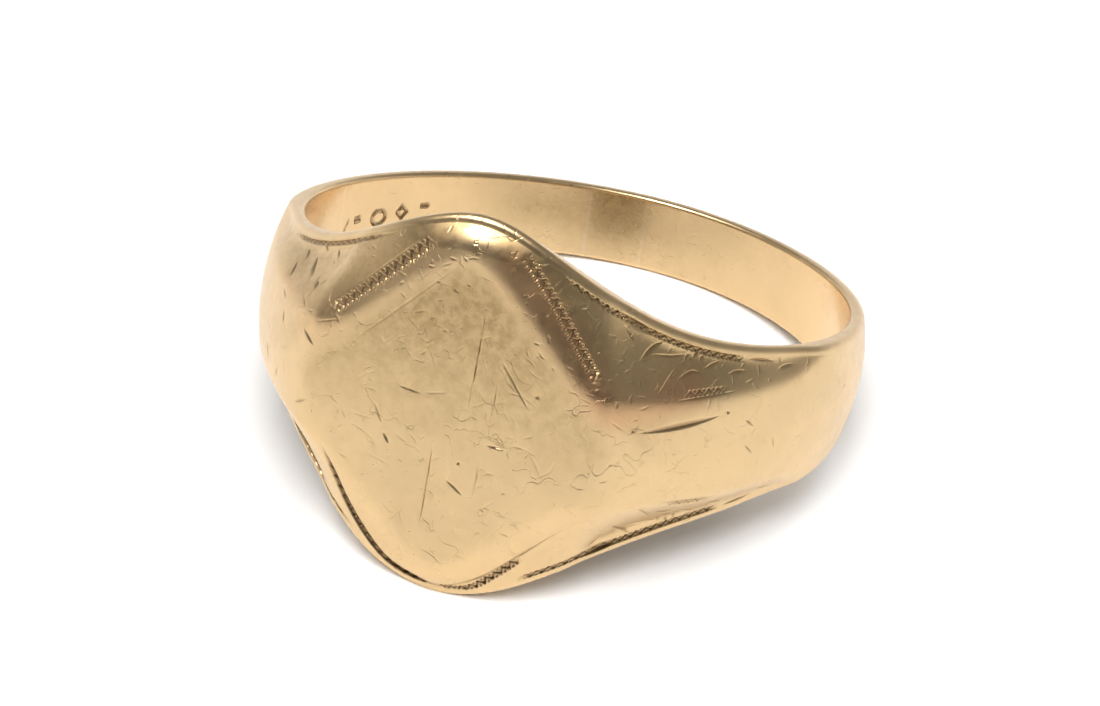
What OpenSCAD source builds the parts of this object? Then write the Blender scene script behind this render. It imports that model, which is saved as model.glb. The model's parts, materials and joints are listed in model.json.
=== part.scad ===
// Signet ring, lying on its side on a flat surface, table towards -Y.
// A struck top carries the lozenge table and both shoulders. Two shank
// halves close the ring, and a sizing insert is let in at the back.
// Every joint is a thin layer of solder.
//
// The surfaces are worked out in the ring's own frame: the finger hole runs
// along Z, and the table faces -Y. An angle round the ring is counted from
// the middle of the table, towards +X. lying() then tips the ring over, so
// that it rests on the head's lower corner and the back of the shank.

/* [Finger hole] */
// Inner diameter
finger_d = 18.2; // [16:0.1:21]

/* [Head] */
// Width of the head along the finger, at the middle of the table
head_w = 12.6; // [11.6:0.1:14]
// Angle round the ring over which the head narrows
head_spread = 28.3; // [25:0.1:32]
// Thickness of metal behind the middle of the table
table_t = 1.3; // [1.1:0.05:1.8]
// Half the table's height, from its middle to its upper corner
table_half_h = 5.2; // [4.6:0.1:5.4]
// Half the table's width, from its middle to its side corner
table_half_w = 5.2; // [4.6:0.1:5.6]
// Radius that blunts the table's upper and lower corners
table_corner_r = 0.8; // [0.3:0.1:1.2]
// Steepness of the bevel at the table's upper and lower corners
corner_slope = 0.35; // [0.3:0.05:0.75]
// Steepness of the bevel towards the shoulders
bevel_slope = 0.75; // [0.5:0.05:1]

/* [Shoulders] */
// Half the width of the ridge that runs down each shoulder
ridge_half_w = 1.7; // [1.3:0.1:2]
// Height of the shoulders, above the shank's thickness
shoulder_h = 2.3; // [2:0.05:2.6]
// Angle round the ring over which the shoulders thin out
shoulder_spread = 49; // [45:1:53]
// Thickness of the rim at the head's corners
rim_head = 0.95; // [0.8:0.05:1.1]
// Depth of the scoop in each leaf panel
scoop = 0.12; // [0:0.02:0.2]
// Half the angle that the struck top covers
top_reach = 98; // [95:3:101]

/* [Shank] */
// Width of the shank at the back
back_w = 2.66; // [2.2:0.02:3.4]
// Width that the shank's taper would reach under the head
taper_w = 6.66; // [6:0.02:7.4]
// Thickness at the crest of the shank's back
back_t = 0.65; // [0.55:0.05:1]
// Thickness at the rims of the shank
rim_back = 0.35; // [0.3:0.05:0.5]
// Radius on the outer edges of the rims
edge_r = 0.25; // [0.1:0.05:0.3]

/* [Joints] */
// Thickness of each layer of solder
solder_t = 0.12; // [0.08:0.01:0.2]
// Length of the sizing insert round the finger
insert_len = 1.9; // [1.5:0.1:4]
// Angle of the sizing insert's middle
insert_at = 190.5; // [180.5:1:200.5]

/* [Hidden] */

finger_r = finger_d / 2;
table_r = finger_r + table_t;          // from the hole's axis to the table
table_slope = table_half_h / table_half_w;
solder_a = solder_t / finger_r * 180 / PI;
insert_a = insert_len / finger_r * 180 / PI;

// Angles at which the pieces meet, going round by way of +X
right_shoulder_a = top_reach;
insert_right_a = insert_at - insert_a / 2 - solder_a;
insert_left_a = insert_at + insert_a / 2;
left_shoulder_a = 360 - top_reach - solder_a;

bore_skin = 0.6;        // how far the rough blank's rims stand into the finger hole
bore_keel = 3;          // and its middle
end_t = 3;              // thickness of the blocks that trim a blank's ends
head_rim_fall = 0.55;   // how far the head's rim falls towards the hole
soft = 0.25;            // how softly two surfaces flow together
sharp = 0.1;            // how softly the table turns into its bevel
facet_blend = 0.6;      // how softly the table's edge turns into the ridge's
table_stock = 0.4;      // metal left above the table, before it is filed flat
ridge_crown = 0.2;      // how far the ridge rounds off towards its edges
rim_spread = 42;        // angle over which the rims thin out
shank_from = 60;        // angle at which the facets begin to fade into the shank
shank_fade = 50;        // and the angle over which they do
far_a = 75;             // beyond this angle the table's plane has no meaning
head_cells = 24;        // cells across the head's width
shank_cells = 12;       // cells across the shank's width
top_step = 3;           // degrees from ring to ring of points on the head
shank_step = 4;         // and on the shank

gold = [0.82, 0.65, 0.42];
solder = [0.86, 0.74, 0.55];

// ---- Rules that shape the surfaces ----

function smooth_min(a, b, k) = (a + b - sqrt((a - b) * (a - b) + k * k)) / 2;
function smooth_max(a, b, k) = -smooth_min(-a, -b, k);
function fade(t) = let(u = max(0, min(1, t))) u * u * (3 - 2 * u);

// Angle away from the middle of the table, the same on both sides
function away(a) = a > 180 ? 360 - a : abs(a);

// Half the ring's width at an angle s away from the table's middle
function half_width(s) =
    back_w / 2
    + (taper_w - back_w) / 2 * pow((1 + cos(s)) / 2, 1.5)
    + (head_w - taper_w) / 2 * exp(-pow(s / head_spread, 1.9));

// Height of the crest that runs round the middle of the ring
function crest(s) =
    finger_r + back_t + shoulder_h * exp(-pow(s / shoulder_spread, 1.9));

// Thickness of the rims
function rim(s) = rim_back + (rim_head - rim_back) * exp(-pow(s / rim_spread, 2));

// Distance outside the table's lozenge, negative within it
function off_table(s, z) =
    let(x = table_r * tan(min(s, far_a)),
        blunt_x = sqrt(x * x + table_corner_r * table_corner_r) - table_corner_r)
    (abs(z) + table_slope * blunt_x - table_half_h) / sqrt(1 + table_slope * table_slope);

// Radius of the outer surface at an angle s away and a height z
function outer_r(s, z) =
    let(w = half_width(s),
        shank = fade((s - shank_from) / shank_fade),    // 0 on the head, 1 on the shank
        plane = table_r / cos(min(s, far_a)) + max(0, s - far_a),
        ridge = ridge_half_w + shank * w,
        d = smooth_min(off_table(s, z), abs(z) - ridge, facet_blend),
        crown = shank * (crest(s) - finger_r - rim(s)) * pow(z / w, 2)
              + (1 - shank) * ridge_crown * pow(z / ridge, 2) * fade((s - 22) / 20),
        top = smooth_min(plane, crest(s), soft) - crown,
        slope = corner_slope + (bevel_slope - corner_slope) * fade((s - 8) / 22),
        bevel = top - slope * (d + sqrt(d * d + sharp * sharp)) / 2
              + table_stock * max(0, -off_table(s, z)),
        across = min(1, max(0, (w - abs(z)) / w)),
        panel = finger_r + rim(s) - (1 - shank) * scoop * sin(180 * across))
    smooth_max(bevel, panel, soft);

// One outline across the ring: [radius, height] from the lower rim to the upper
function outline(s, cells) =
    let(w = half_width(s), flat = w - edge_r, r = outer_r(s, flat))
    concat(
        [for (t = [90 : -30 : 30]) [r - edge_r * (1 - cos(t)), -flat - edge_r * sin(t)]],
        [for (j = [0 : cells]) let(z = -flat + 2 * flat * j / cells) [outer_r(s, z), z]],
        [for (t = [30 : 30 : 90]) [r - edge_r * (1 - cos(t)), flat + edge_r * sin(t)]]);

// The same outline closed on its inner side, inside the finger hole
function section(s, cells) =
    let(inner_h = half_width(s) - head_rim_fall * exp(-pow(s / 20, 2)))
    concat(outline(s, cells),
        [[finger_r - bore_skin, inner_h], [finger_r - bore_keel, 0],
         [finger_r - bore_skin, -inner_h]]);

// A blank that runs past both of its end angles, still rough inside. Its rings
// of points lie at whole steps, and none of them falls on a joint.
module blank(from, to, step, cells) {
    angles = [for (i = [floor(from / step) : ceil(to / step)]) i * step];
    points = [for (a = angles, p = section(away(a), cells))
        [p[0] * sin(a), -p[0] * cos(a), p[1]]];
    n = len(section(0, cells));
    sides = [for (i = [0 : len(angles) - 2], j = [0 : n - 1])
        let(k = (j + 1) % n, p = i * n, q = p + n)
        each [[p + j, p + k, q + k], [p + j, q + k, q + j]]];
    keel = n - 2;
    fans = [for (j = [0 : n - 2]) if (j != keel && j + 1 != keel) [j, j + 1, keel]];
    first = concat([for (f = fans) [f[1], f[0], f[2]]], [[0, n - 1, keel]]);
    end = len(points) - n;
    last = concat([for (f = fans) [end + f[0], end + f[1], end + keel]], [[end + n - 1, end, end + keel]]);
    polyhedron(points, concat(sides, first, last), convexity = 8);
}

// A block with one face in the radial plane at an angle, lying to one side of it
module end_block(at, side) {
    rotate([0, 0, at]) translate([side > 0 ? 0 : -end_t, -2 * finger_r, -head_w])
        cube([end_t, 1.5 * finger_r, 2 * head_w]);
}

// A piece of the ring: cut off square at both end angles, with the round
// finger hole through it
module piece(from, to, step, cells) {
    difference() {
        difference() {
            blank(from, to, step, cells);
            end_block(from, -1);
            end_block(to, 1);
        }
        // the cylinder's seam is turned away from the piece
        rotate([0, 0, (from + to) / 2 + 90])
            cylinder(r = finger_r, h = 2 * head_w, center = true, $fn = 180);
    }
}

// ---- How the ring lies ----

// Lowest point of an outline seen from the side, when the ring is tipped by t;
// side is 1 at the head and -1 at the back
function low(line, side, t) = min([for (p = line) side * p[0] * sin(t) + p[1] * cos(t)]);

head_line = outline(0, head_cells);
back_line = outline(180, shank_cells);

// The tilt at which the head's corner and the shank's back are equally low
function settle(lo, hi, n) =
    let(t = (lo + hi) / 2)
    n == 0 ? t
    : low(head_line, 1, t) > low(back_line, -1, t) ? settle(lo, t, n - 1)
    : settle(t, hi, n - 1);

tilt = settle(0, 40, 24);
lift = -low(head_line, 1, tilt);
front_y = min([for (p = head_line) -min(p[0], table_r) * cos(tilt) + p[1] * sin(tilt)]);
back_y = max([for (p = back_line) p[0] * cos(tilt) + p[1] * sin(tilt)]);

module lying() {
    translate([0, -(front_y + back_y) / 2, lift]) rotate([-tilt, 0, 0]) children();
}

// ---- The pieces ----

// Head, table and both shoulders, struck as one piece
module struck_top() {
    color(gold) lying() difference() {
        piece(-top_reach, top_reach, top_step, head_cells);
        // the table is filed flat
        translate([-head_w, -table_r - head_w, -head_w]) cube([2 * head_w, head_w, 2 * head_w]);
    }
}

module shank_right() {
    color(gold) lying()
        piece(right_shoulder_a + solder_a, insert_right_a, shank_step, shank_cells);
}

module shank_left() {
    color(gold) lying()
        piece(insert_left_a + solder_a, left_shoulder_a, shank_step, shank_cells);
}

// Short piece let in at the back to make the ring a size larger
module sizing_insert() {
    color(gold) lying()
        piece(insert_right_a + solder_a, insert_left_a, shank_step, shank_cells);
}

// One layer of solder, starting at an angle
module solder_layer(at, cells) {
    color(solder) lying() piece(at, at + solder_a, shank_step, cells);
}

module solder_right_shoulder() { solder_layer(right_shoulder_a, shank_cells); }
module solder_left_shoulder() { solder_layer(left_shoulder_a, shank_cells); }
module solder_insert_right() { solder_layer(insert_right_a, shank_cells); }
module solder_insert_left() { solder_layer(insert_left_a, shank_cells); }

struck_top();
shank_left();
shank_right();
sizing_insert();
solder_left_shoulder();
solder_right_shoulder();
solder_insert_left();
solder_insert_right();
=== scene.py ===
"""Looks for the signet ring: worn polished gold with hand engraving, lying on a plain white floor.

Every piece is built again as a fine mesh from the same rules as the CAD part, so that the engraving,
the wear and the softened edges are real shape. All lengths are in millimetres until a mesh is made.
An angle round the ring is in degrees from the middle of the table, towards +X.
"""

import json

import bpy
import numpy as np
from mathutils import Matrix, Vector


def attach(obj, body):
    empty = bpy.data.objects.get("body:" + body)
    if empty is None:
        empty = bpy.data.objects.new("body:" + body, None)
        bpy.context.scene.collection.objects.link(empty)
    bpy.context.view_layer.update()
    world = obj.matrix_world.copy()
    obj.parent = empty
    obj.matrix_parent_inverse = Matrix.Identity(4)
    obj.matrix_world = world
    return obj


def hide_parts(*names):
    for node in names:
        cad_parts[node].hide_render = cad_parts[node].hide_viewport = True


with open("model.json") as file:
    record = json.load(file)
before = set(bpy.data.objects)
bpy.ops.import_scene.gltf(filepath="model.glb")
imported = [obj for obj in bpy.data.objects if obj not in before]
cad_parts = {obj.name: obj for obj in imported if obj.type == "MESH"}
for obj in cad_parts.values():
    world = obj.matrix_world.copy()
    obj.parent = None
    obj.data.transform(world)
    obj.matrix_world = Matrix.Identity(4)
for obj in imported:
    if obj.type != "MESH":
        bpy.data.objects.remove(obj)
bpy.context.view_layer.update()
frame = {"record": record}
record = frame["record"]
mounts = {m["name"]: m for m in record["mounts"]}
MM = 0.001

# ---- Where the ring lies, from its finger hole ----

hole = mounts["finger_bore"]
centre = np.array(hole["pos_m"]) / MM
axis = np.array(hole["axis"])
across = np.array([1.0, 0.0, 0.0])
away_from_table = np.cross(axis, across)
ring_axes = np.array([across, away_from_table, axis])


def to_world(points):
    """Ring-frame points as points of the row frame, still in millimetres."""
    return points @ ring_axes + centre


# ---- Sizes, as in the CAD part: millimetres, with the reach of each rule in degrees ----

FINGER_R = hole["dims"]["r_mm"]
HEAD_W = 12.6
HEAD_SPREAD = 28.3
TABLE_R = FINGER_R + 1.3
TABLE_HALF_H = 5.2
TABLE_HALF_W = 5.2
TABLE_SLOPE = TABLE_HALF_H / TABLE_HALF_W
TABLE_CORNER_R = 0.8
CORNER_SLOPE = 0.35
BEVEL_SLOPE = 0.75
RIDGE_HALF_W = 1.7
SHOULDER_H = 2.3
SHOULDER_SPREAD = 49
RIM_HEAD = 0.95
SCOOP = 0.12
TOP_REACH = 98
BACK_W = 2.66
TAPER_W = 6.66
BACK_T = 0.65
RIM_BACK = 0.35
EDGE_R = 0.25
SOLDER_T = 0.12
INSERT_LEN = 1.9
INSERT_AT = 190.5
HEAD_RIM_FALL = 0.55
RIM_SPREAD = 42
FAR_A = 75
SHANK_FROM = 60
SHANK_FADE = 50
FACET_BLEND = 0.6
RIDGE_CROWN = 0.2
CROWN_FROM = 22
CROWN_FADE = 20
CORNER_FROM = 8
CORNER_FADE = 22
BORE_SKIN = 0.6
RIM_FALL_SPREAD = 20

# ---- Wear, which only this model shows ----

SOFT = 0.22
TABLE_WEAR = 0.22
INNER_EDGE_R = 0.12
ROLL_REACH = 1.0
ROLL_DROP = 0.6
ROLL_SPREAD = 12
FLAT_REACH = 40

solder_a = np.degrees(SOLDER_T / FINGER_R)
insert_a = np.degrees(INSERT_LEN / FINGER_R)
right_shoulder_a = TOP_REACH
insert_right_a = INSERT_AT - insert_a / 2 - solder_a
insert_left_a = INSERT_AT + insert_a / 2
left_shoulder_a = 360 - TOP_REACH - solder_a


# ---- Rules that shape the surfaces ----

def smooth_min(a, b, k):
    """The smaller of two values, blended over a distance k where they meet."""
    return (a + b - np.sqrt((a - b) ** 2 + k * k)) / 2


def smooth_max(a, b, k):
    """The larger of two values, blended over a distance k where they meet."""
    return -smooth_min(-a, -b, k)


def fade(t):
    """Rises smoothly from 0 to 1 as t does."""
    u = np.clip(t, 0, 1)
    return u * u * (3 - 2 * u)


def away(a):
    """Angle away from the middle of the table, the same on both sides."""
    turn = np.mod(a, 360)
    return np.where(turn > 180, 360 - turn, turn)


def half_width(s):
    """Half of the ring's width along the finger."""
    taper = (TAPER_W - BACK_W) / 2 * ((1 + np.cos(np.radians(s))) / 2) ** 1.5
    head = (HEAD_W - TAPER_W) / 2 * np.exp(-((s / HEAD_SPREAD) ** 1.9))
    return BACK_W / 2 + taper + head


def crest(s):
    """Radius of the shoulder's ridge, half way up the ring."""
    return FINGER_R + BACK_T + SHOULDER_H * np.exp(-((s / SHOULDER_SPREAD) ** 1.9))


def rim(s):
    """Thickness of the metal at the rim."""
    return RIM_BACK + (RIM_HEAD - RIM_BACK) * np.exp(-((s / RIM_SPREAD) ** 2))


def off_table(s, z):
    """Distance outside the table's lozenge, negative within it."""
    x = TABLE_R * np.tan(np.radians(np.minimum(s, FAR_A)))
    blunt_x = np.sqrt(x * x + TABLE_CORNER_R**2) - TABLE_CORNER_R
    return (np.abs(z) + TABLE_SLOPE * blunt_x - TABLE_HALF_H) / np.sqrt(1 + TABLE_SLOPE**2)


def outer_r(s, z):
    """Radius of the plain outer surface, before wear and engraving."""
    w = half_width(s)
    shank = fade((s - SHANK_FROM) / SHANK_FADE)
    plane = TABLE_R / np.cos(np.radians(np.minimum(s, FAR_A))) + np.maximum(0, s - FAR_A)
    ridge = RIDGE_HALF_W + shank * w
    d = smooth_min(off_table(s, z), np.abs(z) - ridge, FACET_BLEND)
    crown = shank * (crest(s) - FINGER_R - rim(s)) * (z / w) ** 2
    crown_rise = fade((s - CROWN_FROM) / CROWN_FADE)
    crown = crown + (1 - shank) * RIDGE_CROWN * (z / ridge) ** 2 * crown_rise
    top = smooth_min(plane, crest(s), SOFT) - crown
    corner_fade = fade((s - CORNER_FROM) / CORNER_FADE)
    slope = CORNER_SLOPE + (BEVEL_SLOPE - CORNER_SLOPE) * corner_fade
    bevel = top - slope * (d + np.sqrt(d * d + TABLE_WEAR**2)) / 2
    share = np.clip((w - np.abs(z)) / w, 0, 1)
    panel = FINGER_R + rim(s) - (1 - shank) * SCOOP * np.sin(np.pi * share)
    return smooth_max(bevel, panel, SOFT)


def filed_r(s, z):
    """The outer radius once the table has been filed flat."""
    plain = outer_r(s, z)
    filed = TABLE_R / np.cos(np.radians(np.minimum(s, FLAT_REACH)))
    return np.where(s < FLAT_REACH, np.minimum(plain, filed), plain)


def roll_over(s, z, w):
    """How far wear has rolled the head's upper and lower corners over; w is the half width."""
    reach = np.clip((np.abs(z) - w + ROLL_REACH) / ROLL_REACH, 0, 1)
    return ROLL_DROP * np.exp(-((s / ROLL_SPREAD) ** 2)) * reach**2


# ---- Engraving and wear, as depths cut into the surfaces ----
# A place on the outer surface is (distance round the ring, height), with the distance
# measured from the middle of the table.

UNROLL = np.radians(1) * 10.2
BORE_UNROLL = 0.159
WRIGGLE_PITCH = 0.34
PIT_DEPTH = 0.05
STAMP_DEPTH = 0.06
TICK_DEPTH = 0.05
TICK_HALF = 0.06
HAIRLINE_HALF = 0.035


def smooth_path(points, steps=6):
    """A Catmull-Rom curve through the points."""
    knots = np.array([points[0], *points, points[-1]], float)
    curve = []
    for k in range(1, len(knots) - 2):
        for t in np.arange(steps) / steps:
            before, start, end, after = knots[k - 1 : k + 3]
            linear = (end - before) * t
            square = (2 * before - 5 * start + 4 * end - after) * t * t
            cube = (3 * start - before - 3 * end + after) * t**3
            curve.append(start + (linear + square + cube) / 2)
    curve.append(knots[-1])
    return np.array(curve)


def beside_path(u, v, path):
    """Length of the path, and for each place its distance along and across it."""
    best = np.full(u.shape, np.inf)
    along = np.zeros_like(u)
    across_path = np.zeros_like(u)
    done = 0.0
    for start, end in zip(path[:-1], path[1:]):
        run = end - start
        length = np.hypot(*run)
        run = run / length
        t = (u - start[0]) * run[0] + (v - start[1]) * run[1]
        side = (v - start[1]) * run[0] - (u - start[0]) * run[1]
        gap = np.hypot(side, t - np.clip(t, 0, length))
        nearer = gap < best
        best = np.where(nearer, gap, best)
        along = np.where(nearer, done + np.clip(t, 0, length), along)
        across_path = np.where(nearer, np.where(side < 0, -gap, gap), across_path)
        done += length
    return done, along, across_path


def near(u, v, path, margin):
    """The places inside the path's own rectangle and a margin round it."""
    low = path.min(axis=0) - margin
    high = path.max(axis=0) + margin
    return (u > low[0]) & (u < high[0]) & (v > low[1]) & (v < high[1])


def scratch_shape(length, along, side, half, depth):
    """A plain V cut whose ends run out."""
    share = np.sqrt(np.sin(np.pi * np.clip(along / length, 0.02, 0.98)))
    return depth * share * np.clip(1 - np.abs(side) / (half * share), 0, 1)


def leaf_shape(length, along, side, half, depth):
    """A graver's leaf cut: pointed ends, one steep face and one shallow one."""
    share = np.sin(np.pi * np.clip(along / length, 0, 1)) ** 0.8 + 0.01
    place_across = side / (half * share)
    steep = np.clip((1 - place_across) / 0.5, 0, 1)
    shallow = np.clip((1 + place_across) / 1.5, 0, 1)
    return depth * share * np.minimum(steep, shallow)


def zigzag(along):
    """Swings from -1 to 1 and back once in each pitch."""
    return np.abs(np.mod(along / WRIGGLE_PITCH, 1) - 0.5) * 4 - 1


def wriggle_shape(length, along, side, half, depth):
    """A rocked graver's zigzag, deepest at the end of each swing, over a shallow trough."""
    phase = zigzag(along)
    swing = half * 0.6
    line = np.clip(1 - np.abs(side - swing * phase) / (half * 0.45), 0, 1)
    bead_side = (np.abs(side) - swing * 1.2) / (half * 0.5)
    bead = np.clip(1 - np.hypot((1 - np.abs(phase)) * 1.6, bead_side), 0, 1)
    trough = np.clip(1 - (side / half) ** 2, 0, 1)
    ends = fade(along / 0.5) * fade((length - along) / 0.5)
    return ends * depth * (0.5 * line + 0.65 * bead + 0.5 * trough)


def groove_shape(length, along, side, half, depth):
    """A steep-sided groove with a zigzag floor."""
    swell = fade(along / 1.2) * fade((length - along) / 1.2)
    wall = np.clip((1 - np.abs(side) / (half * (0.25 + 0.75 * swell))) / 0.5, 0, 1)
    zigzag_floor = np.clip(1 - np.abs(side - half * 0.5 * zigzag(along)) / (half * 0.5), 0, 1)
    return swell * depth * wall * (0.6 + 0.4 * zigzag_floor)


SHAPES = {
    "scratch": scratch_shape,
    "leaf": leaf_shape,
    "wriggle": wriggle_shape,
    "groove": groove_shape,
}


def cut_path(deep, u, v, shape, points, half, depth):
    """Cuts one path into the depths."""
    path = smooth_path(points) if len(points) > 2 else np.array(points, float)
    here = near(u, v, path, half * 1.6)
    if not here.any():
        return
    length, along, side = beside_path(u[here], v[here], path)
    deep[here] = np.maximum(deep[here], SHAPES[shape](length, along, side, half, depth))


def cut_pit(deep, u, v, middle, radius):
    """Cuts one small round pit into the depths."""
    gap = np.hypot(u - middle[0], v - middle[1]) / radius
    np.maximum(deep, PIT_DEPTH * np.clip(1 - gap, 0, 1), out=deep)


# Cuts on the right shoulder's upper panel: shape, places, half width, depth.
# The lower panels get the same cuts, mirrored.
RIGHT_CUTS = [
    ("leaf", [(4.55, 4.15), (5.95, 3.4)], 0.17, 0.09),
    ("scratch", [(4.85, 3.75), (5.2, 3.3)], 0.06, 0.05),
    ("leaf", [(5.4, 2.75), (5.8, 3.0), (6.25, 3.25)], 0.09, 0.06),
    ("scratch", [(5.9, 2.9), (6.5, 2.8), (7.05, 2.8)], 0.05, 0.045),
    ("leaf", [(7.05, 2.6), (7.2, 2.85)], 0.07, 0.05),
    ("leaf", [(7.35, 2.7), (7.6, 2.95)], 0.07, 0.05),
    ("leaf", [(7.6, 2.5), (7.75, 2.8)], 0.07, 0.05),
    ("scratch", [(7.75, 2.4), (8.35, 2.55)], 0.06, 0.045),
    ("scratch", [(6.0, 1.9), (6.65, 2.5)], 0.05, 0.045),
    ("leaf", [(6.65, 2.2), (7.3, 2.35), (7.7, 2.2)], 0.07, 0.045),
    ("leaf", [(8.6, 2.2), (9.4, 2.2)], 0.07, 0.05),
    ("scratch", [(9.6, 2.5), (10.7, 2.3)], 0.06, 0.045),
    ("leaf", [(10.8, 2.05), (11.6, 2.1)], 0.07, 0.04),
    ("wriggle", [(6.75, 1.85), (8.6, 1.85)], 0.1, 0.06),
    ("scratch", [(6.7, 1.72), (8.7, 1.78)], 0.05, 0.045),
]

# Cuts on the left shoulder's upper panel
LEFT_CUTS = [
    ("leaf", [(-6.9, 3.4), (-6.2, 3.05)], 0.08, 0.06),
    ("leaf", [(-7.65, 2.65), (-7.2, 2.45)], 0.06, 0.05),
    ("leaf", [(-5.65, 3.4), (-5.25, 3.2)], 0.06, 0.05),
    ("leaf", [(-6.75, 2.75), (-6.3, 2.5), (-5.9, 2.4)], 0.08, 0.06),
    ("leaf", [(-5.5, 2.5), (-5.3, 2.3)], 0.09, 0.06),
    ("leaf", [(-7.6, 2.25), (-7.1, 1.9)], 0.06, 0.05),
    ("scratch", [(-6.45, 1.15), (-6.3, 0.75)], 0.05, 0.04),
    ("leaf", [(-4.95, 1.25), (-4.4, 0.9)], 0.07, 0.05),
    ("scratch", [(-7.0, 1.6), (-6.6, 1.45)], 0.05, 0.03),
]

# The long lines beside the table, and the leaf cut at the right shoulder's corner
LONG_CUTS = [
    ("leaf", [(8.15, 1.15), (5.5, 0.8)], 0.13, 0.07),
    ("scratch", [(-3.4, 1.35), (-1.9, 3.1), (-0.35, 4.85)], 0.04, 0.012),
    ("wriggle", [(-4.2, 2.1), (-2.8, 3.7), (-1.3, 5.4)], 0.2, 0.075),
    ("scratch", [(-4.3, 2.3), (-2.95, 3.9), (-1.5, 5.5)], 0.04, 0.03),
    ("wriggle", [(1.45, 5.6), (2.6, 4.35), (4.25, 2.2)], 0.17, 0.075),
    ("groove", [(-3.95, -2.2), (-3.2, -3.9), (-2.0, -5.2), (-1.1, -5.75), (0.5, -6.0)], 0.17, 0.16),
    ("scratch", [(-0.6, -5.9), (0.5, -5.85), (1.75, -5.1), (2.95, -3.9), (4.05, -2.7)], 0.05, 0.05),
    ("wriggle", [(0.1, -6.0), (1.15, -5.8), (1.85, -5.25), (2.9, -4.1)], 0.13, 0.1),
]

# Scratches from wear on the table and the ridges
WORN_CUTS = [
    ("scratch", [(0.65, 3.6), (0.6, 2.0), (0.55, 0.45)], 0.042, 0.051),
    ("scratch", [(1.35, 2.2), (2.4, 0.85)], 0.038, 0.037),
    ("scratch", [(1.35, 1.6), (1.3, 0.15)], 0.038, 0.037),
    ("scratch", [(-1.7, 0.45), (-1.0, 0.4)], 0.042, 0.034),
    ("scratch", [(-0.4, -1.0), (-0.45, -3.9)], 0.042, 0.051),
    ("scratch", [(1.15, -1.15), (1.1, -2.5)], 0.038, 0.037),
    ("scratch", [(1.3, -0.65), (1.85, -0.65)], 0.042, 0.043),
    ("scratch", [(-2.0, -1.2), (-1.8, -1.5)], 0.048, 0.051),
    ("scratch", [(0.2, -2.15), (0.75, -2.5)], 0.042, 0.043),
    ("scratch", [(-2.4, -0.3), (-2.1, -0.9)], 0.042, 0.034),
    ("scratch", [(9.2, 0.85), (9.55, 0.6)], 0.048, 0.051),
    ("scratch", [(9.3, 0.0), (9.7, -0.35)], 0.048, 0.051),
    ("scratch", [(10.5, 0.1), (10.7, -0.4)], 0.042, 0.043),
    ("scratch", [(-7.5, -0.4), (-7.3, -0.9)], 0.06, 0.068),
    ("leaf", [(-7.5, -3.0), (-6.6, -3.1)], 0.084, 0.085),
]

# Small pits: place, radius
PITS = [
    ((2.6, 1.35), 0.07),
    ((14.9, 0.65), 0.06),
    ((8.45, 1.2), 0.06),
    ((5.35, 0.85), 0.05),
    ((0.5, -1.5), 0.06),
]

# Inside the shank, where a real ring is stamped, generic marks stand for the stamps:
# angle, height, half length along the shank in degrees, half height
DASH_MARKS = [(235.5, 0.37, 1.1, 0.09), (255.3, 0.3, 1.2, 0.13)]
DIAMOND_MARK = (241.5, 0.22, 1.9, 0.33)
OVAL_MARK = (248.3, 0.18, 2.6, 0.33)
TICK_MARK = [(258.5, 0.4), (260.0, 0.0)]

RIM_LINE_IN = 0.37
RIM_LINE_FROM = 2.7
RIM_LINE_LEN = 6.8
RIM_LINE_HALF = 0.1
RIM_LINE_DEPTH = 0.075

# The reddish tarnish follows the bevel beside the table, then the foot of the shoulder's panel
STAIN_HALF_W = 0.55
STAIN_FROM = -1
STAIN_REACH = 9.5
STAIN_LOW = 0.3
LEFT_STAIN = 0.3
STAIN_PATH = [(1.2, 5.2), (2.3, 4.2), (3.6, 2.9), (4.7, 1.5), (5.8, 1.6), (7.2, 2.0)]


def random_scratches(count, low, high, length, depth, seed):
    """Short hairlines scattered over a rectangle of the outer surface."""
    low = np.array(low, float)
    high = np.array(high, float)
    draw = np.random.RandomState(seed)
    found = []
    for _ in range(count):
        start = low + (high - low) * draw.rand(2)
        heading = draw.rand() * 2 * np.pi
        run = length * (0.3 + draw.rand()) * np.array([np.cos(heading), np.sin(heading)])
        bend = 0.15 * np.array([-run[1], run[0]]) * (draw.rand() - 0.5) * 2
        path = [tuple(start), tuple(start + run / 2 + bend), tuple(start + run)]
        found.append(("scratch", path, HAIRLINE_HALF, depth * (0.5 + draw.rand())))
    return found


HAIRLINES = (
    random_scratches(70, (-4, -5), (5, 4.5), 0.9, 0.008, 3)
    + random_scratches(110, (5, -2.2), (17, 1.8), 0.45, 0.012, 5)
    + random_scratches(60, (-16, -2.5), (-5, 2.5), 0.45, 0.012, 7)
    + random_scratches(90, (4.5, 1.8), (11, 4.0), 0.3, 0.022, 11)
    + random_scratches(90, (-5.5, 1.5), (0, 6.0), 0.3, 0.018, 13)
    + random_scratches(60, (0.5, 2.0), (5, 6.0), 0.3, 0.018, 17)
    + random_scratches(80, (2, -5.0), (11, -2.0), 0.3, 0.014, 19)
)


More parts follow.
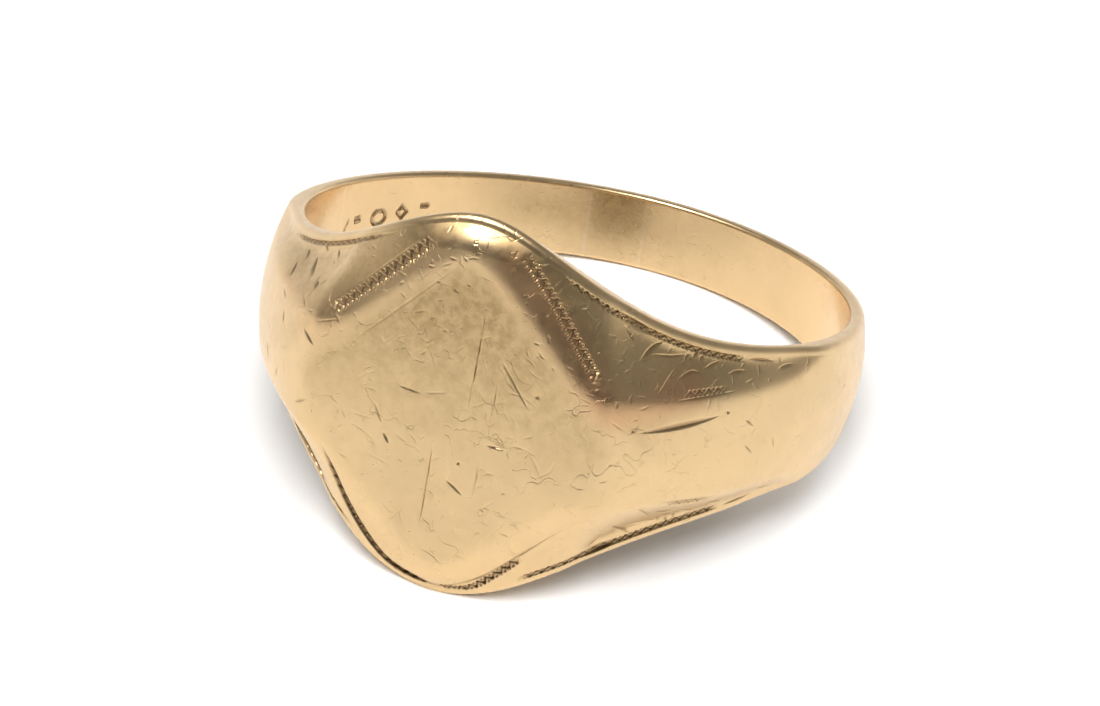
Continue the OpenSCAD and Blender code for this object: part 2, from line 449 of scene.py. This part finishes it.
def engraving(a, z):
    """Depth of everything cut into the outer surface."""
    turn = np.mod(a + 180, 360) - 180
    u = turn * UNROLL
    v = z.copy()
    deep = np.zeros_like(u)
    if np.abs(turn).min() > TOP_REACH:
        return deep
    for shape, points, half, depth in RIGHT_CUTS + LEFT_CUTS:
        cut_path(deep, u, v, shape, points, half, depth)
        cut_path(deep, u, -v, shape, points, half, depth)
    for shape, points, half, depth in LONG_CUTS + WORN_CUTS + HAIRLINES:
        cut_path(deep, u, v, shape, points, half, depth)
    for middle, radius in PITS:
        cut_pit(deep, u, v, middle, radius)
    # A line of cuts keeps just inside each rim
    rim_side = half_width(away(turn)) - RIM_LINE_IN - np.abs(v)
    for side, shape in ((1, "wriggle"), (-1, "groove")):
        along = u * side - RIM_LINE_FROM
        band = SHAPES[shape](RIM_LINE_LEN, along, rim_side, RIM_LINE_HALF, RIM_LINE_DEPTH)
        deep = np.maximum(deep, np.where((along > 0) & (along < RIM_LINE_LEN), band, 0))
    return deep


def bore_marks(a, z):
    """Depth of the marks stamped inside the shank."""
    deep = np.zeros_like(a + z)
    for middle, height, half_a, half_h in DASH_MARKS:
        inside = np.maximum(np.abs(a - middle) / half_a, np.abs(z - height) / half_h)
        deep = np.maximum(deep, STAMP_DEPTH * fade((1 - inside) * 4))
    middle, height, half_a, half_h = DIAMOND_MARK
    diamond = np.abs(a - middle) / half_a + np.abs(z - height) / half_h
    deep = np.maximum(deep, STAMP_DEPTH * fade((0.3 - np.abs(diamond - 0.7)) * 6))
    middle, height, half_a, half_h = OVAL_MARK
    oval = np.hypot((a - middle) / half_a, (z - height) / half_h)
    deep = np.maximum(deep, STAMP_DEPTH * fade((0.22 - np.abs(oval - 0.78)) * 8))
    start, end = np.array(TICK_MARK)
    u = (a - start[0]) * BORE_UNROLL
    v = z - start[1]
    run = np.array([(end[0] - start[0]) * BORE_UNROLL, end[1] - start[1]])
    t = np.clip((u * run[0] + v * run[1]) / (run @ run), 0, 1)
    gap = np.hypot(u - t * run[0], v - t * run[1])
    return np.maximum(deep, TICK_DEPTH * np.clip(1 - gap / TICK_HALF, 0, 1))


def outer_stain(a, z):
    """How strongly the reddish tarnish shows on the outer surface."""
    u = (np.mod(a + 180, 360) - 180) * UNROLL
    stain = np.zeros_like(u)
    path = smooth_path(STAIN_PATH)
    for side, strength in ((1, 1.0), (-1, LEFT_STAIN)):
        along = u * side
        here = (along > STAIN_FROM) & (along < STAIN_REACH) & (z > STAIN_LOW)
        if here.any():
            side_gap = beside_path(along[here], z[here], path)[2]
            shown = strength * np.exp(-((side_gap / STAIN_HALF_W) ** 2))
            stain[here] = np.maximum(stain[here], shown)
    return stain


# How much of the dirt and the painted shade shows in each part, and where; angles are in degrees
LEFT_PANEL_GRIME_AND_SHADE = 0.5
RIGHT_PANEL_GRIME_AND_SHADE = 0.7
BEVEL_GRIME_AND_SHADE = 0.8
# Painted shade: the lower side shows only this share of the panels' and bevels' darkening
LOWER_SIDE_DARKENING = 0.12
DULL_REACH = 45
DULL_EDGE = 0.8
DULL_MIDDLE = 0.3
DULL_RISE = 0.22
DULL_LEAST = 0.03
DULL_MOST = 1.3
INSERT_PATCH_A = 190.2
INSERT_PATCH_HALF = 6.4
SMUDGE_A = 207
SMUDGE_HALF = 9


def outer_grime_and_shade(a, z):
    """How dirty the engraved panels and bevels are, which wear doesn't reach, with painted shade
    that keeps this darkening strong on the upper side and weak on the lower side; the table's
    darkening is joined in.
    """
    s = away(a)
    panel = fade((np.abs(z) - RIDGE_HALF_W + 0.2) / 0.8) * np.exp(-(((s - 40) / 24) ** 2))
    bevel = fade((off_table(s, z) - 0.2) / 0.5) * np.exp(-((s / 30) ** 4))
    panel_share = np.where(np.mod(a, 360) > 180, LEFT_PANEL_GRIME_AND_SHADE, RIGHT_PANEL_GRIME_AND_SHADE)
    # Painted shade: the upper side keeps all of this darkening, the lower side only a little
    kept = np.where(z > 0, 1.0, LOWER_SIDE_DARKENING)
    grime = kept * np.maximum(panel_share * panel, BEVEL_GRIME_AND_SHADE * bevel)
    return np.maximum(grime, table_dull(a, z))


def table_dull(a, z):
    """How strongly the table is darkened and roughened, rising with height and most at its upper
    corner.
    """
    s = away(a)
    inside = fade(-off_table(s, z) / DULL_EDGE) * np.where(s < DULL_REACH, 1.0, 0.0)
    return inside * np.clip(DULL_MIDDLE + DULL_RISE * z, DULL_LEAST, DULL_MOST)


def bore_grime(a, z):
    """How strongly the brown patches show in the finger hole."""
    patch = np.exp(-(np.abs((a - INSERT_PATCH_A) / INSERT_PATCH_HALF) ** 6))
    patch = patch * fade((z + 0.9) / 1.4)
    smudge = 0.5 * np.exp(-(((a - SMUDGE_A) / SMUDGE_HALF) ** 2))
    smudge = smudge * np.exp(-(((z - 0.3) / 0.5) ** 2))
    return np.maximum(patch, smudge)


# ---- Fine meshes of the pieces ----

BORE_CELLS = 56
RIM_CLEAR = 0.06
RIM_TURNS = np.radians(np.array([18, 36, 54, 72, 90]))[None, :]
BEND_TURNS = np.linspace(0, np.pi / 2, 5)[None, :]
SHARP_FROM = 70
HEAD_STEP = 0.16
SHANK_STEP = 0.3
HEAD_CELLS = 400
SHANK_CELLS = 100
FINE_REACH = 62


def profile(a, cells):
    """Closed outlines across the ring, one for each angle.

    Gives the radius and height of each point, then its cut depth, stain, grime and painted shade,
    and whether it lies in the finger hole.
    """
    a = np.asarray(a, float)[:, None]
    s = away(a)
    w = half_width(s)
    flat = w - EDGE_R
    z = flat * np.linspace(-1, 1, cells + 1)[None, :]
    smooth = filed_r(s, z) - roll_over(s, z, w)
    deep = engraving(a + 0 * z, z) * fade((flat - np.abs(z)) / RIM_CLEAR)
    edge = filed_r(s, flat) - roll_over(s, flat, w)
    upper_r = edge - EDGE_R * (1 - np.cos(RIM_TURNS))
    upper_z = flat + EDGE_R * np.sin(RIM_TURNS)
    inner_h = w - HEAD_RIM_FALL * np.exp(-((s / RIM_FALL_SPREAD) ** 2))
    fall = (inner_h - w) / (edge - EDGE_R - FINGER_R + BORE_SKIN)
    mouth = w + fall * (edge - EDGE_R - FINGER_R)
    bend_r = FINGER_R + INNER_EDGE_R * (1 - np.sin(BEND_TURNS)) + 0 * w
    bend_z = mouth - INNER_EDGE_R * (1 - np.cos(BEND_TURNS))
    bore_z = (mouth - INNER_EDGE_R) * np.linspace(1, -1, BORE_CELLS + 1)[None, 1:-1]
    stamped = bore_marks(a + 0 * bore_z, bore_z)
    bare_bend = 0 * bend_r
    bare_rim = 0 * upper_r

    def outline(outside, rim_part, bend_part, inside, flip):
        """One closed outline; flip is -1 for heights, which change sign at the lower rim."""
        lower_bend = flip * bend_part[:, ::-1]
        lower_rim = flip * rim_part[:, ::-1]
        strips = [outside, rim_part, bend_part, inside, lower_bend, lower_rim]
        return np.concatenate(strips, axis=1)

    def shown(outside, inside):
        """What the metal shows, with nothing on the rims."""
        return outline(outside, bare_rim, bare_bend, inside, 1)

    return [
        outline(smooth - deep, upper_r, bend_r, FINGER_R + stamped, 1),
        outline(z, upper_z, bend_z, bore_z, -1),
        shown(deep, stamped),
        shown(outer_stain(a + 0 * z, z), 0 * bore_z),
        shown(outer_grime_and_shade(a, z), bore_grime(a, bore_z)),
        shown(0 * z, 1 + 0 * bore_z),
    ]


def build(name, angles, cells):
    """A closed mesh of one piece, standing for the CAD node of the same name."""
    radius, height, cut, stain, grime, bore = profile(angles, cells)
    turn = np.radians(np.asarray(angles, float))[:, None]
    points = np.stack([radius * np.sin(turn), -radius * np.cos(turn), height], axis=-1)
    rings, n = radius.shape
    vertices = to_world(points.reshape(-1, 3)) * MM
    i, j = np.meshgrid(np.arange(rings - 1), np.arange(n), indexing="ij")
    k = (j + 1) % n
    quads = np.stack([i * n + j, i * n + k, (i + 1) * n + k, (i + 1) * n + j], axis=-1)
    first_end = list(range(n))[::-1]
    last_end = list(range((rings - 1) * n, rings * n))
    faces = quads.reshape(-1, 4).tolist() + [first_end, last_end]
    mesh = bpy.data.meshes.new(name + "_fine")
    mesh.from_pydata(vertices.tolist(), [], faces)
    mesh.polygons.foreach_set("use_smooth", [True] * len(faces))
    mesh.set_sharp_from_angle(angle=np.radians(SHARP_FROM))
    for label, values in (("cut", cut), ("stain", stain), ("grime", grime), ("bore", bore)):
        layer = mesh.attributes.new(label, "FLOAT", "POINT")
        layer.data.foreach_set("value", values.astype(np.float32).ravel())
    mesh.update()
    piece = bpy.data.objects.new(name + "_fine", mesh)
    bpy.context.scene.collection.objects.link(piece)
    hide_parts(name)
    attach(piece, "root")
    return piece


def spread(first, last, step):
    """Angles from first to last, evenly spaced, about a step apart."""
    return np.linspace(first, last, max(2, int(np.ceil((last - first) / step)) + 1))


# ---- Materials ----

PER_MM = 1 / MM


def value_node(tree, kind, **settings):
    """A new node with its own settings, such as its operation."""
    node = tree.nodes.new(kind)
    for label, setting in settings.items():
        setattr(node, label, setting)
    return node


def attribute(tree, label):
    """A socket that gives one of the mesh's own values."""
    return value_node(tree, "ShaderNodeAttribute", attribute_name=label).outputs["Fac"]


def remap(tree, source, from_low, from_high, to_low, to_high):
    """Stretches one range of a socket's values onto another, and stops at its ends."""
    node = tree.nodes.new("ShaderNodeMapRange")
    tree.links.new(source, node.inputs["Value"])
    node.inputs["From Min"].default_value = from_low
    node.inputs["From Max"].default_value = from_high
    node.inputs["To Min"].default_value = to_low
    node.inputs["To Max"].default_value = to_high
    return node.outputs["Result"]


def maths(tree, operation, first, second):
    """A maths node; each side is a socket or a plain number."""
    node = value_node(tree, "ShaderNodeMath", operation=operation)
    for side, given in enumerate((first, second)):
        if isinstance(given, (int, float)):
            node.inputs[side].default_value = given
        else:
            tree.links.new(given, node.inputs[side])
    return node.outputs["Value"]


def noise(tree, place_socket, per_mm, detail=3.0, roughness=0.55):
    """Cloudy noise with per_mm lumps to the millimetre."""
    node = tree.nodes.new("ShaderNodeTexNoise")
    tree.links.new(place_socket, node.inputs["Vector"])
    node.inputs["Scale"].default_value = per_mm * PER_MM
    node.inputs["Detail"].default_value = detail
    node.inputs["Roughness"].default_value = roughness
    return node


def tint(tree, factor, colour_socket, colour):
    """Mixes a plain colour over a colour socket."""
    node = value_node(tree, "ShaderNodeMix", data_type="RGBA")
    tree.links.new(factor, node.inputs["Factor"])
    tree.links.new(colour_socket, node.inputs["A"])
    node.inputs["B"].default_value = (*colour, 1)
    return node.outputs["Result"]


def scuff_lines(tree, place_socket, per_mm, width, shift):
    """Fine curved hairlines: the wobbly edges of a cell pattern, broken up by noise.

    The pattern has per_mm cells to the millimetre, and shift moves it, so that no two match.
    """
    wobble = noise(tree, place_socket, per_mm * 0.9, detail=2.0)
    bent = value_node(tree, "ShaderNodeVectorMath", operation="MULTIPLY_ADD")
    tree.links.new(wobble.outputs["Color"], bent.inputs[0])
    bent.inputs[1].default_value = (1.8 * MM / per_mm,) * 3
    tree.links.new(place_socket, bent.inputs[2])
    moved = value_node(tree, "ShaderNodeVectorMath", operation="ADD")
    tree.links.new(bent.outputs["Vector"], moved.inputs[0])
    moved.inputs[1].default_value = (shift * MM, 0.0, shift * MM)
    cells = value_node(tree, "ShaderNodeTexVoronoi", feature="DISTANCE_TO_EDGE")
    tree.links.new(moved.outputs["Vector"], cells.inputs["Vector"])
    cells.inputs["Scale"].default_value = per_mm * PER_MM
    line = remap(tree, cells.outputs["Distance"], 0.0, width, 1.0, 0.0)
    broken = noise(tree, moved.outputs["Vector"], per_mm * 1.3, detail=1.0)
    kept = remap(tree, broken.outputs["Fac"], 0.54, 0.7, 0.0, 1.0)
    return maths(tree, "MULTIPLY", line, kept)


BROWN = (0.16, 0.095, 0.045)
COPPER = (0.62, 0.33, 0.17)
OLIVE = (0.36, 0.25, 0.1)
GOLD = (0.76, 0.545, 0.295)
SOLDER = (0.78, 0.58, 0.34)
OLIVE_SHARE = 0.65
COPPER_SHARE = 0.7
SCUFF_SHARE = 0.15
METAL_ROUGHNESS = 0.31
SCUFF_DEPTH = 0.008


def metal(name, colour):
    """Worn gold: brown in the cuts, reddish where tarnished, olive where dirty and as painted shade
    on the upper side, scuffed all over.
    """
    material = bpy.data.materials.new(name)
    material.use_nodes = True
    tree = material.node_tree
    shader = tree.nodes["Principled BSDF"]
    shader.inputs["Metallic"].default_value = 1.0
    where = tree.nodes.new("ShaderNodeTexCoord").outputs["Object"]
    cloud = noise(tree, where, 0.5, detail=4.0).outputs["Fac"]
    grain = noise(tree, where, 3.0, detail=5.0, roughness=0.7).outputs["Fac"]
    coarse = scuff_lines(tree, where, 0.7, 0.02, 0.0)
    medium = scuff_lines(tree, where, 1.3, 0.03, 7.0)
    lines = maths(tree, "MAXIMUM", coarse, medium)
    polished = attribute(tree, "bore")
    lines = maths(tree, "MULTIPLY", lines, remap(tree, polished, 0.0, 1.0, 1.0, 0.3))
    base = value_node(tree, "ShaderNodeMix", data_type="RGBA")
    tree.links.new(remap(tree, cloud, 0.35, 0.65, 0.0, 1.0), base.inputs["Factor"])
    base.inputs["A"].default_value = (*(0.93 * c for c in colour), 1)
    base.inputs["B"].default_value = (*colour, 1)
    # Olive tint from the dirt, with painted shade that darkens the upper panels and bevels more than
    # the lower ones
    grime = attribute(tree, "grime")
    mottle = remap(tree, grain, 0.4, 0.6, 0.55, 1.0)
    olive = maths(tree, "MULTIPLY", grime, mottle)
    shade = tint(tree, maths(tree, "MULTIPLY", olive, OLIVE_SHARE), base.outputs["Result"], OLIVE)
    patchy = remap(tree, cloud, 0.3, 0.6, 0.5, 1.0)
    stain = maths(tree, "MULTIPLY", attribute(tree, "stain"), patchy)
    shade = tint(tree, maths(tree, "MULTIPLY", stain, COPPER_SHARE), shade, COPPER)
    shade = tint(tree, maths(tree, "MULTIPLY", lines, SCUFF_SHARE), shade, BROWN)
    speck = remap(tree, grain, 0.68, 0.78, 0.0, 0.5)
    shade = tint(tree, speck, shade, BROWN)
    cut = remap(tree, attribute(tree, "cut"), 0.004, 0.08, 0.0, 0.9)
    shade = tint(tree, cut, shade, BROWN)
    tree.links.new(shade, shader.inputs["Base Color"])
    rough = remap(tree, grain, 0.3, 0.7, METAL_ROUGHNESS - 0.05, METAL_ROUGHNESS + 0.07)
    rough = maths(tree, "ADD", rough, maths(tree, "MULTIPLY", olive, 0.1))
    rough = maths(tree, "SUBTRACT", rough, maths(tree, "MULTIPLY", polished, 0.12))
    tree.links.new(rough, shader.inputs["Roughness"])
    height = maths(tree, "SUBTRACT", maths(tree, "MULTIPLY", grain, 0.5), lines)
    bump = tree.nodes.new("ShaderNodeBump")
    bump.inputs["Strength"].default_value = 1.0
    bump.inputs["Distance"].default_value = SCUFF_DEPTH * MM
    tree.links.new(height, bump.inputs["Height"])
    tree.links.new(bump.outputs["Normal"], shader.inputs["Normal"])
    return material


gold = metal("gold_10k", GOLD)
solder = metal("gold_solder", SOLDER)

head_angles = np.concatenate(
    [
        spread(-TOP_REACH, -FINE_REACH, SHANK_STEP)[:-1],
        spread(-FINE_REACH, FINE_REACH, HEAD_STEP),
        spread(FINE_REACH, TOP_REACH, SHANK_STEP)[1:],
    ]
)
pieces = {"struck_top": build("struck_top", head_angles, HEAD_CELLS)}
for name, first, last in (
    ("shank_right", right_shoulder_a + solder_a, insert_right_a),
    ("shank_left", insert_left_a + solder_a, left_shoulder_a),
    ("sizing_insert", insert_right_a + solder_a, insert_left_a),
    ("solder_right_shoulder", right_shoulder_a, right_shoulder_a + solder_a),
    ("solder_left_shoulder", left_shoulder_a, left_shoulder_a + solder_a),
    ("solder_insert_right", insert_right_a, insert_right_a + solder_a),
    ("solder_insert_left", insert_left_a, insert_left_a + solder_a),
):
    pieces[name] = build(name, spread(first, last, SHANK_STEP), SHANK_CELLS)
for name, piece in pieces.items():
    is_solder = name.startswith("solder")
    piece.data.materials.append(solder if is_solder else gold)

# ---- Floor, light and camera ----

FLOOR_SIZE = 3.0
FLOOR_WHITE = (0.95, 0.95, 0.95, 1)
SOFT_BOX_AT = (-0.098, -0.075, 0.32)
SOFT_BOX_SIZE = 0.14
SOFT_BOX_POWER = 0.95
DAYLIGHT_FROM = (0.05, -0.18, 0.36)
DAYLIGHT_SPREAD = 40
DAYLIGHT = 3.7

bpy.ops.mesh.primitive_plane_add(size=FLOOR_SIZE, location=(0, 0, 0))
floor = bpy.context.object
floor.name = "floor"
floor_material = bpy.data.materials.new("floor_white")
floor_material.use_nodes = True
floor_shader = floor_material.node_tree.nodes["Principled BSDF"]
floor_shader.inputs["Base Color"].default_value = FLOOR_WHITE
floor_shader.inputs["Roughness"].default_value = 0.9
floor.data.materials.append(floor_material)

# The room: bright at the horizon behind and beside the ring, dim overhead and towards the viewer
world = bpy.data.worlds.new("studio")
bpy.context.scene.world = world
world.use_nodes = True
tree = world.node_tree
background = tree.nodes["Background"]
direction = tree.nodes.new("ShaderNodeTexCoord")
split = tree.nodes.new("ShaderNodeSeparateXYZ")
tree.links.new(direction.outputs["Generated"], split.inputs[0])


def ramp(source, stops):
    """A grey ramp fed by a socket, with (place, grey) stops."""
    node = tree.nodes.new("ShaderNodeValToRGB")
    tree.links.new(source, node.inputs["Fac"])
    elements = node.color_ramp.elements
    while len(elements) < len(stops):
        elements.new(0.5)
    for element, (place_on_ramp, grey) in zip(elements, stops):
        element.position = place_on_ramp
        element.color = (grey, grey, grey, 1)
    return node.outputs["Color"]


height_ramp = ramp(split.outputs["Z"], [(0.0, 1.0), (0.12, 0.8), (0.36, 0.27), (1.0, 0.22)])
forward = remap(tree, split.outputs["Y"], -1.0, 1.0, 0.0, 1.0)
forward_ramp = ramp(forward, [(0.0, 0.3), (0.25, 0.6), (0.45, 1.0)])
both = value_node(tree, "ShaderNodeMix", data_type="RGBA", blend_type="MULTIPLY")
both.inputs["Factor"].default_value = 1.0
tree.links.new(height_ramp, both.inputs["A"])
tree.links.new(forward_ramp, both.inputs["B"])
tree.links.new(both.outputs["Result"], background.inputs["Color"])
background.inputs["Strength"].default_value = 1.0


def lamp_facing_ring(name, light, place):
    """Puts a light in place, turned towards the ring."""
    lamp = bpy.data.objects.new(name, light)
    lamp.location = place
    lamp.rotation_mode = "QUATERNION"
    lamp.rotation_quaternion = Vector(place).to_track_quat("Z", "Y")
    bpy.context.scene.collection.objects.link(lamp)
    return lamp


# A soft box up to the left, which only shows as a reflection in the gold
soft_box = bpy.data.lights.new("soft_box", "AREA")
soft_box.size = SOFT_BOX_SIZE
soft_box.energy = SOFT_BOX_POWER
lamp_facing_ring("soft_box", soft_box, SOFT_BOX_AT).visible_diffuse = False

# Broad daylight from above and in front, which lights the floor evenly and gives the soft shadow
daylight = bpy.data.lights.new("daylight", "SUN")
daylight.angle = np.radians(DAYLIGHT_SPREAD)
daylight.energy = DAYLIGHT
lamp_facing_ring("daylight", daylight, DAYLIGHT_FROM).visible_glossy = False

# The camera's place and aim are in the ring's own frame: angles in degrees, lengths in millimetres
CAMERA_AZ = 17.72
CAMERA_EL = 21.99
CAMERA_D = 119.7
AIM_ACROSS = -0.438
AIM_UP = -1.38
CAMERA_ROLL = 9.13
CAMERA_LENS = 118.38
SENSOR_WIDTH = 36
CLIP_START = 0.001
CLIP_END = 10

az = np.radians(CAMERA_AZ)
el = np.radians(CAMERA_EL)
roll = np.radians(CAMERA_ROLL)
back = np.array([np.sin(az) * np.cos(el), -np.cos(az) * np.cos(el), np.sin(el)])
right = np.array([np.cos(az), np.sin(az), 0.0])
up = np.cross(back, right)
place = AIM_ACROSS * right + AIM_UP * up + CAMERA_D * back
rolled_right = right * np.cos(roll) + up * np.sin(roll)
rolled_up = up * np.cos(roll) - right * np.sin(roll)
camera_data = bpy.data.cameras.new("camera")
camera = bpy.data.objects.new("camera", camera_data)
bpy.context.scene.collection.objects.link(camera)
camera_data.sensor_width = SENSOR_WIDTH
camera_data.lens = CAMERA_LENS
camera_data.clip_start = CLIP_START
camera_data.clip_end = CLIP_END
columns = np.array([rolled_right, rolled_up, back]) @ ring_axes
turn = Matrix([[float(columns[c][r]) for c in range(3)] for r in range(3)]).to_4x4()
camera.matrix_world = Matrix.Translation(Vector(to_world(place) * MM)) @ turn
bpy.context.scene.camera = camera
bpy.context.scene.view_settings.view_transform = "Standard"
